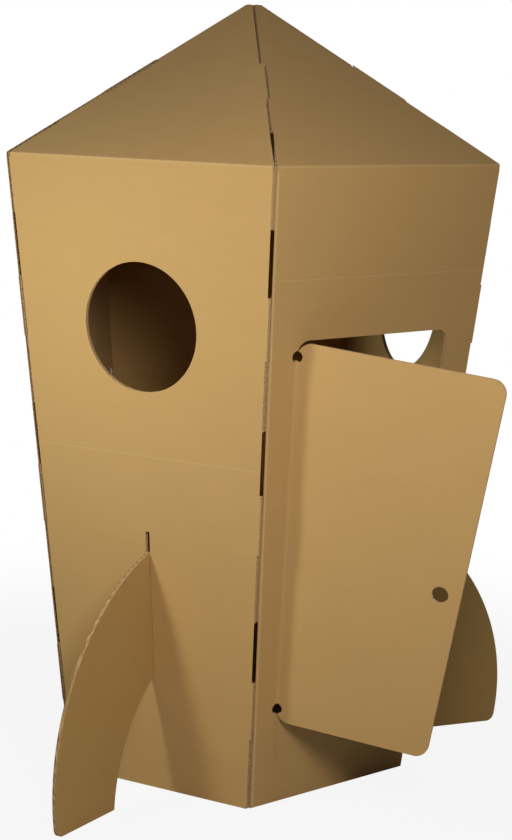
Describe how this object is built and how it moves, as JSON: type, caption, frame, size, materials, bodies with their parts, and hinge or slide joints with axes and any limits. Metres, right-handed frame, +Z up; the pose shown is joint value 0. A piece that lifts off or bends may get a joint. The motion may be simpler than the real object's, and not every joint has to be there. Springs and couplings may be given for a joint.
{
  "type": "cardboard rocket playhouse",
  "caption": "Walk-in play rocket of plain brown corrugated board: a ring of leaning wall panels with a pointed roof, a swinging door, round windows and slot-in fins.",
  "frame": {"origin": "centre of the five-sided footprint, on the floor and on the axis of the ring", "axes": "+Z up along the axis of the ring, the door wall faces -Y, +X to the right of someone who faces the door"},
  "size_m": [1.0956, 1.115, 1.398],
  "materials": {
    "panel_board": "plain brown kraft liner, matt, with faint level flute lines",
    "door_board": "plain brown kraft liner, matt, a little lighter where the door was pushed",
    "fin_board": "plain brown kraft liner, matt, with open flutes on the cut edges"
  },
  "bodies": {
    "shell": {"door_panel": "panel_board", "left_panel": "panel_board", "right_panel": "panel_board", "rear_left_panel": "panel_board", "rear_right_panel": "panel_board", "left_fin": "fin_board", "right_fin": "fin_board"},
    "door_leaf": {"door": "door_board"}
  },
  "joints": [
    {"name": "door_hinge", "type": "hinge", "parent": "shell", "child": "door_leaf", "pos_m": [-0.1444, -0.27913, 0.15629], "axis": [0.0528, 0.0945, -0.9941], "range_deg": [-61.5, 58.5]}
  ]
}
